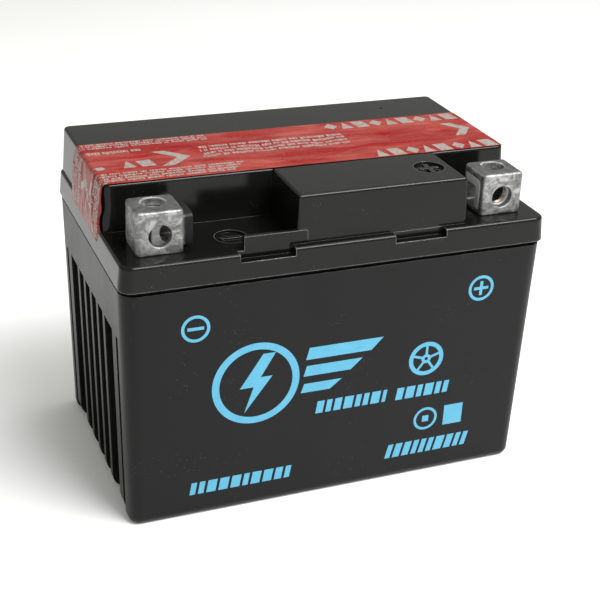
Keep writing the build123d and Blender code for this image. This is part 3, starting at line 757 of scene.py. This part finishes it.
def tick_row(rng, s0, s1, y, height):
    """Small upright ticks in groups: a row of print with no letters in it."""
    ticks = []
    s = s0
    while s < s1:
        for _ in range(rng.randint(2, 9)):
            if s >= s1:
                break
            width = rng.choice(TICK_WIDTHS)
            tall = height * rng.choice(TICK_HEIGHTS)
            ticks.append(bar(s + width / 2, y + (height - tall) / 2, width, tall))
            s += width + TICK_GAP
        s += TICK_GROUP_GAP
    return ticks


def chevron(s, y, width, height, thick):
    """An arrow head that points to smaller s, towards the end that is pulled first."""
    return [(s - width / 2, y), (s + width / 2 - thick, y + height / 2),
            (s + width / 2, y + height / 2), (s - width / 2 + thick, y),
            (s + width / 2, y - height / 2), (s + width / 2 - thick, y - height / 2)]


def bold_row(s0, s1, y, height):
    """Large plain shapes in a row: blocks, wedges and diamonds by turns."""
    shapes = []
    s = s0
    turn = 0
    while s < s1:
        width = BOLD_WIDTHS[turn % 3]
        middle = s + width / 2
        if turn % 3 == 0:
            shapes.append(bar(middle, y, width * 0.86, height, 0.35))
        elif turn % 3 == 1:
            shapes.append([(s, y - height / 2), (s + width, y - height / 2),
                           (s + width * 0.5, y + height / 2)])
        else:
            shapes.append([(s, y), (middle, y - height / 2), (s + width, y),
                           (middle, y + height / 2)])
        s += width + BOLD_GAP
        turn += 1
    return shapes


def wear_and_glint_patch(s, y, length, width, rng):
    """An irregular spot where the print has rubbed off at the fold; also used as a small painted
    glint.
    """
    corners = 9
    patch = []
    for i in range(corners):
        angle = 2 * math.pi * i / corners
        reach = rng.uniform(0.7, 1.1) / 2
        patch.append((s + reach * length * math.cos(angle), y + reach * width * math.sin(angle)))
    return patch


def make_film_print(material):
    """Silver print on the film: rows of ticks, bold plain shapes and chevrons."""
    rng = random.Random(31)
    left = TOP_RUN / MM
    end = FILM_RUN / MM - 0.8
    outlines = []
    for y in (15.6, 14.2, 12.8):
        outlines += tick_row(rng, left - 33.0, end, y, 1.05)
    for y in (-6.0, -7.5, -9.0, -10.5):
        outlines += tick_row(rng, left - 33.0 - 0.8 * (y + 10.5), end, y, 1.1)
    for y in (7.0, 4.9, 2.8, 0.7):
        outlines += tick_row(rng, left - 69.0, left - 29.0, y, 1.5)
    outlines += tick_row(rng, left - 14.0, end - 1.5, 9.0, 1.8)
    outlines += bold_row(left - 15.0, left - 6.0, -0.2, 5.0)
    outlines.append(chevron(left - 20.6, 1.6, 9.0, 10.6, 3.4))
    outlines += bold_row(1.4, 38.0, 13.4, 4.8)
    outlines += bold_row(1.0, 37.0, -9.4, 4.8)
    outlines.append(chevron(5.4, 3.0, 6.8, 10.0, 3.0))
    outlines.append(chevron(left + 7.2, 3.2, 5.0, 8.0, 2.3))
    outlines += bold_row(left + 3.0, left + 12.0, -3.2, 3.4)
    outlines.append(wear_and_glint_patch(left - 0.6, -1.6, 3.4, 2.2, rng))
    # painted highlight: a small silver spot standing in for the glint on the film's folded front
    # corner
    outlines.append(wear_and_glint_patch(left + 0.2, -11.55, 1.8, 0.7, rng))
    mesh = print_shapes("seal_tape_print", millimetres(outlines), 1.0 * MM, PRINT_RISE,
                        lambda s, y, height: film_point(s, y, height - PRINT_SINK))
    add_object("seal_tape_print", mesh, "seal_tape", "tape_film", material)


# ---------------------------------------------------------------------- front print

PRINT_T = 0.025 * MM
PRINT_SUNK = 0.008 * MM


def bolt(u, v, size):
    """A lightning flash."""
    corners = [(0.10, 0.50), (-0.26, -0.06), (-0.04, -0.06), (-0.18, -0.50), (0.26, 0.10),
               (0.07, 0.10), (0.30, 0.50)]
    return [(u + size * a, v + size * b) for a, b in corners]


def block_row(rng, u0, u1, v, height, slant):
    """Slanted blocks of uneven width in a line."""
    blocks = []
    u = u0
    while u < u1 - 1.0:
        width = min(rng.choice(BLOCK_WIDTHS), u1 - u)
        blocks.append(bar(u + width / 2, v, width, height, slant))
        u += width + BLOCK_GAP
    return blocks


def polarity_sign(u, v, plus):
    """A ring round a minus or a plus."""
    stroke = 0.85
    arm = 1.6
    shapes = ring(u, v, 3.65, 2.85)
    shapes.append(bar(u, v, 4.2, stroke))
    if plus:
        for side in (-1, 1):
            shapes.append(bar(u, v + side * (stroke / 2 + arm / 2), stroke, arm))
    return shapes


def wheel(u, v, radius):
    """A tyre, a hub and five spokes."""
    shapes = ring(u, v, radius, radius * 0.76) + ring(u, v, radius * 0.27, radius * 0.10)
    for spoke in range(5):
        angle = 2 * math.pi * spoke / 5 + math.pi / 2
        reach = radius * 0.5125
        at = (u + reach * math.cos(angle), v + reach * math.sin(angle))
        shapes.append(turned_outline(bar(*at, radius * 0.485, radius * 0.14), at, angle))
    return shapes


def make_front_print(material):
    """Light blue print on the case's front: polarity signs and plain ornament."""
    mesh = NODES["container"].data
    tree = BVHTree.FromPolygons([v.co for v in mesh.vertices],
                                [p.vertices for p in mesh.polygons])

    def on_front(x, z, height):
        start = Vector((x, CAD_LOW.y - 10 * MM, z))
        hit = tree.ray_cast(start, Vector((0, 1, 0)))[0]
        return Vector((x, hit.y - height + PRINT_SUNK, z))

    rng = random.Random(7)
    outlines = polarity_sign(-38.3, 55.0, plus=False) + polarity_sign(39.0, 55.0, plus=True)
    outlines += ring(-22.4, 37.0, 11.6, 9.7, segments=72)
    outlines.append(bolt(-22.4, 37.0, 16.5))
    for i, (u1, height) in enumerate(((12.0, 3.4), (6.5, 3.0), (1.0, 2.6))):
        v = 43.2 - 5.0 * i
        u0 = -9.2 - 0.5 * i
        outlines.append([(u0, v - height / 2), (u1 - 3.2, v - height / 2), (u1, v + height / 2),
                         (u0 + 0.8, v + height / 2)])
    outlines += wheel(25.0, 36.2, 5.0)
    outlines += block_row(rng, -5.6, 14.2, 26.8, 3.6, 0.25)
    outlines += block_row(rng, 17.2, 33.0, 26.6, 3.6, 0.25)
    outlines += ring(26.6, 17.3, 3.5, 2.75) + [bar(26.6, 17.3, 1.9, 1.9)]
    outlines += [bar(34.9, 17.3, 5.6, 6.2)]
    outlines += block_row(rng, 15.8, 40.0, 8.6, 4.2, 0.5)
    outlines += block_row(rng, -39.3, -11.5, 8.4, 3.6, 0.3)
    printed = print_shapes("front_print", millimetres(outlines), 4.0 * MM,
                           PRINT_T + PRINT_SUNK, on_front)
    add_object("front_print", printed, "battery", "case_plastic", material)


# ------------------------------------------------------- terminals and angle nuts

WELD_REACH = 0.002 * MM
TERMINAL_VOXEL = 0.17 * MM
NUT_VOXEL = 0.11 * MM
THREAD_DEPTH = 0.42 * MM
THREAD_PITCH = 0.8 * MM
THREAD_STEPS = 40                # straight pieces in each turn of a thread
THREAD_CUT = 2.4 * MM            # half the length of the cut that makes room for a thread


def remeshed(source, voxel):
    """A new mesh with an even, closed skin of small quads."""
    scratch = bpy.data.objects.new("scratch", source)
    bpy.context.scene.collection.objects.link(scratch)
    weld = scratch.modifiers.new("weld", "WELD")
    weld.merge_threshold = WELD_REACH
    skin = scratch.modifiers.new("skin", "REMESH")
    skin.mode = "VOXEL"
    skin.voxel_size = voxel
    relax = scratch.modifiers.new("relax", "SMOOTH")
    relax.factor = 0.5
    relax.iterations = 3
    bpy.context.view_layer.update()
    evaluated = scratch.evaluated_get(bpy.context.evaluated_depsgraph_get())
    mesh = bpy.data.meshes.new_from_object(evaluated)
    bpy.data.objects.remove(scratch)
    mesh.materials.clear()
    return mesh


def dent(mesh, depth, size, seed):
    """Moves each vertex along its normal by smooth noise."""
    normals = [vertex.normal.copy() for vertex in mesh.vertices]
    for vertex, normal in zip(mesh.vertices, normals):
        place = vertex.co / size + Vector((seed, seed, seed))
        vertex.co += normal * depth * noise.noise(place)


def make_terminal(name, material, seed):
    """Replaces a terminal by the same block with the uneven skin of cast lead."""
    mesh = remeshed(NODES[name].data.copy(), TERMINAL_VOXEL)
    dent(mesh, 0.07 * MM, 3.2 * MM, seed)
    dent(mesh, 0.04 * MM, 0.9 * MM, seed + 5.0)
    mesh.shade_smooth()
    piece = add_object(name + "_cast", mesh, "battery", "lead", material)
    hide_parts(name)


def cylinder_mesh(radius, start, end, segments=64):
    """A closed cylinder between two points."""
    bm = bmesh.new()
    axis = end - start
    turn = axis.to_track_quat("Z", "Y").to_matrix().to_4x4()
    bmesh.ops.create_cone(bm, cap_ends=True, segments=segments, radius1=radius,
                          radius2=radius, depth=axis.length,
                          matrix=Matrix.Translation((start + end) / 2) @ turn)
    return mesh_from(bm, "cutter")


def thread_ridge(bm, mount):
    """Adds the helical ridge of an internal thread to a bmesh."""
    axis = Vector(mount["axis"])
    crest = mount["dims"]["r_mm"] * MM
    root = crest + THREAD_DEPTH + 0.05 * MM
    length = mount["dims"]["length_mm"] * MM - THREAD_PITCH
    side = axis.orthogonal().normalized()
    other = axis.cross(side)
    centre = Vector(mount["pos_m"])
    turns = length / THREAD_PITCH
    steps = round(turns * THREAD_STEPS)
    rings = []
    for step in range(steps + 1):
        share = step / steps
        angle = 2 * math.pi * turns * share
        out = math.cos(angle) * side + math.sin(angle) * other
        along = (share - 0.5) * length
        fade = min(1.0, 8 * share, 8 * (1 - share))
        corners = ((root, -THREAD_PITCH / 2), (crest + THREAD_DEPTH * (1 - fade), 0.0),
                   (root, THREAD_PITCH / 2))
        rings.append([bm.verts.new(centre + radius * out + (along + rise) * axis)
                      for radius, rise in corners])
    for lower, upper in zip(rings, rings[1:]):
        for i in range(3):
            j = (i + 1) % 3
            bm.faces.new((lower[i], lower[j], upper[j], upper[i]))
    bm.faces.new(rings[0])
    bm.faces.new(rings[-1])


def make_angle_nut(side_name, body, plating, thread):
    """Replaces an angle nut by one with soft edges and real M5 threads in both legs."""
    node = side_name + "_angle_nut"
    threads = [MOUNTS[f"{side_name}_{place}_thread"] for place in ("top", "front")]
    scratch = bpy.data.objects.new("scratch_nut", NODES[node].data.copy())
    bpy.context.scene.collection.objects.link(scratch)
    cutters = []
    weld = scratch.modifiers.new("weld", "WELD")
    weld.merge_threshold = WELD_REACH
    for mount in threads:
        centre = Vector(mount["pos_m"])
        axis = Vector(mount["axis"])
        bore = cylinder_mesh(mount["dims"]["r_mm"] * MM + THREAD_DEPTH,
                             centre - axis * THREAD_CUT, centre + axis * THREAD_CUT)
        cutter = bpy.data.objects.new("cutter", bore)
        bpy.context.scene.collection.objects.link(cutter)
        cut = scratch.modifiers.new("cut", "BOOLEAN")
        cut.operation = "DIFFERENCE"
        cut.solver = "EXACT"
        cut.object = cutter
        cutters.append(cutter)
    bpy.context.view_layer.update()
    evaluated = scratch.evaluated_get(bpy.context.evaluated_depsgraph_get())
    cut_mesh = bpy.data.meshes.new_from_object(evaluated)
    for helper in cutters + [scratch]:
        bpy.data.objects.remove(helper)
    mesh = remeshed(cut_mesh, NUT_VOXEL)
    dent(mesh, 0.03 * MM, 2.4 * MM, 2.0)
    mesh.shade_smooth()
    nut = add_object(node + "_plated", mesh, body, "nut_steel", plating)
    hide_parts(node)
    bm = bmesh.new()
    for mount in threads:
        thread_ridge(bm, mount)
    add_object(node + "_threads", mesh_from(bm, node + "_threads", math.radians(50)), body,
               "nut_steel", thread)


# ------------------------------------------------------------------------- the scene

make_camera()
make_studio()
red_film = make_red_film()
lead = make_lead()
bright_steel = make_plated_steel("bright_steel", (0.50, 0.50, 0.52, 1.0),
                                 (0.68, 0.68, 0.70, 1.0), spotted=0.60)
pocket_mouth_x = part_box("negative_terminal")[1].x
# a darker copy of the plated steel for the negative nut: painted shade, as this nut sits in the
# shade beside the centre block
shaded_steel = make_plated_steel("shaded_steel", (0.17, 0.17, 0.175, 1.0),
                               (0.32, 0.32, 0.325, 1.0), spotted=0.55,
                               painted_shade_from=pocket_mouth_x + 0.2 * MM)
dress_cad_nodes({
    "case_plastic": make_case_plastic(),
    "lid_plastic": make_lid_plastic(),
    "tape_film": red_film,
    "lead": lead,
    "nut_steel": bright_steel,
    "valve_rubber": make_rubber("valve_rubber", 0.018),
    "seal_rubber": make_rubber("seal_rubber", 0.012),
    "epoxy": make_epoxy(),
    "positive_paste": make_paste("positive_paste", (0.075, 0.036, 0.022, 1.0),
                                 (0.15, 0.078, 0.048, 1.0)),
    "negative_paste": make_paste("negative_paste", (0.16, 0.165, 0.17, 1.0),
                                 (0.30, 0.305, 0.31, 1.0)),
    "glass_mat": make_glass_mat(),
    "arrestor_frit": make_frit(),
})
make_film(red_film)
make_film_print(make_silver_print())
make_front_print(make_cyan_ink())
make_terminal("negative_terminal", lead, seed=11.0)
make_terminal("positive_terminal", lead, seed=23.0)
dark_thread = make_dark_thread()
make_angle_nut("negative", "negative_nut", shaded_steel, dark_thread)
make_angle_nut("positive", "positive_nut", bright_steel, dark_thread)
